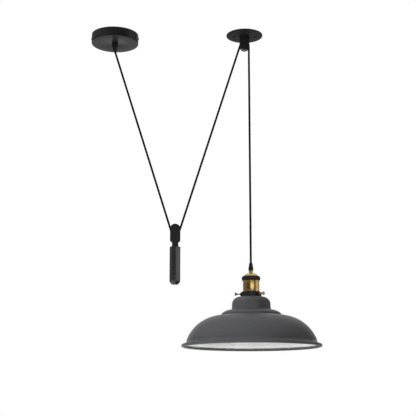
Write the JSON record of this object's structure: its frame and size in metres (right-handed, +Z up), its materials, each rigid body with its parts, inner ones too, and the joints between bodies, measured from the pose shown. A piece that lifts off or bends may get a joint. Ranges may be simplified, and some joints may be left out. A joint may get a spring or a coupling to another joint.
{
  "type": "rise and fall pendant lamp",
  "caption": "Ceiling pendant whose domed shade rises and falls on a cord that runs over a ceiling pulley and through a hanging counterweight pulley back to a ceiling rose.",
  "frame": {"origin": "centre of the ceiling rose's face against the ceiling", "axes": "+Z up, +X from the rose towards the ceiling pulley and the lamp, +Y away from the camera; all three hang in the X-Z plane"},
  "size_m": [0.5452, 0.321, 0.7557],
  "materials": {
    "satin_black": "satin black powder coat",
    "dark_weight": "dark grey satin paint on steel",
    "black_grip": "matte black moulded plastic",
    "braided_cord": "black braided fabric over insulated wires",
    "steel": "turned steel",
    "brass": "lacquered brass, slightly dulled",
    "thumb_brass": "reddish brass",
    "white_block": "off-white insulating block, glazed",
    "wire_sheath": "brown and blue insulated wire",
    "grey_shade": "satin grey enamel outside, white enamel inside"
  },
  "bodies": {
    "ceiling": {"rose_cup": "satin_black", "rose_strap": "steel", "rose_side_screws": "satin_black", "rose_grip": "black_grip", "rose_grip_nut": "steel", "terminal_block": "white_block", "terminal_screws": "brass", "rose_wires": "wire_sheath", "hook_plate": "satin_black", "hook_yoke": "satin_black", "hook_yoke_screw": "steel", "hook_axle": "steel", "hook_axle_nut": "steel", "cord_rose_tail": "braided_cord", "cord_rose_leg": "braided_cord", "cord_hook_leg": "braided_cord", "cord_hook_turn": "braided_cord", "cord_lamp_drop": "braided_cord"},
    "hook_wheel": {"hook_wheel": "steel", "hook_wheel_bush": "brass"},
    "counterweight": {"counterweight_yoke": "satin_black", "counterweight_axle": "steel", "counterweight_axle_nut": "steel", "counterweight_neck": "satin_black", "counterweight_neck_nut": "steel", "counterweight_bar": "dark_weight", "cord_weight_turn": "braided_cord"},
    "counterweight_wheel": {"counterweight_wheel": "steel", "counterweight_wheel_bush": "brass"},
    "lamp": {"lamp_grip": "black_grip", "lamp_nipple": "brass", "lamp_nipple_nut": "brass", "lamp_cap": "brass", "knurled_ring": "satin_black", "holder_shell": "brass", "socket_insert": "white_block", "socket_screws": "brass", "socket_shell": "brass", "socket_contact": "brass", "lamp_wires": "wire_sheath", "shade_gallery": "satin_black", "gallery_lock_ring": "satin_black", "shade": "grey_shade", "cord_lamp_tail": "braided_cord"},
    "thumb_screw_1": {"thumb_screw_1": "thumb_brass"},
    "thumb_screw_2": {"thumb_screw_2": "thumb_brass"},
    "thumb_screw_3": {"thumb_screw_3": "thumb_brass"}
  },
  "joints": [
    {"name": "lamp_slide", "type": "slide", "parent": "ceiling", "child": "lamp", "axis": [0, 0, 1], "range_m": [-0.4, 0.15], "deforming": ["cord_lamp_drop"]},
    {"name": "counterweight_slide", "type": "slide", "parent": "ceiling", "child": "counterweight", "axis": [0, 0, 1], "range_m": [-0.082, 0.217], "deforming": ["cord_rose_leg", "cord_hook_leg"]},
    {"name": "hook_wheel_spin", "type": "hinge", "parent": "ceiling", "child": "hook_wheel", "pos_m": [0.316, 0, -0.027], "axis": [0, 1, 0], "continuous": true},
    {"name": "counterweight_wheel_spin", "type": "hinge", "parent": "counterweight", "child": "counterweight_wheel", "pos_m": [0.15042, 0, -0.482], "axis": [0, 1, 0], "continuous": true},
    {"name": "thumb_screw_1_slide", "type": "slide", "parent": "lamp", "child": "thumb_screw_1", "axis": [-0.9659, -0.2588, 0], "range_m": [0, 0.004]},
    {"name": "thumb_screw_2_slide", "type": "slide", "parent": "lamp", "child": "thumb_screw_2", "axis": [0.7071, -0.7071, 0], "range_m": [0, 0.004]},
    {"name": "thumb_screw_3_slide", "type": "slide", "parent": "lamp", "child": "thumb_screw_3", "axis": [0.2588, 0.9659, 0], "range_m": [0, 0.004]}
  ],
  "couplings": [
    {"joint": "counterweight_slide", "follows": "lamp_slide", "ratio": -0.54},
    {"joint": "hook_wheel_spin", "follows": "lamp_slide", "rad_per_m": -95.238},
    {"joint": "counterweight_wheel_spin", "follows": "lamp_slide", "rad_per_m": 47.6}
  ]
}
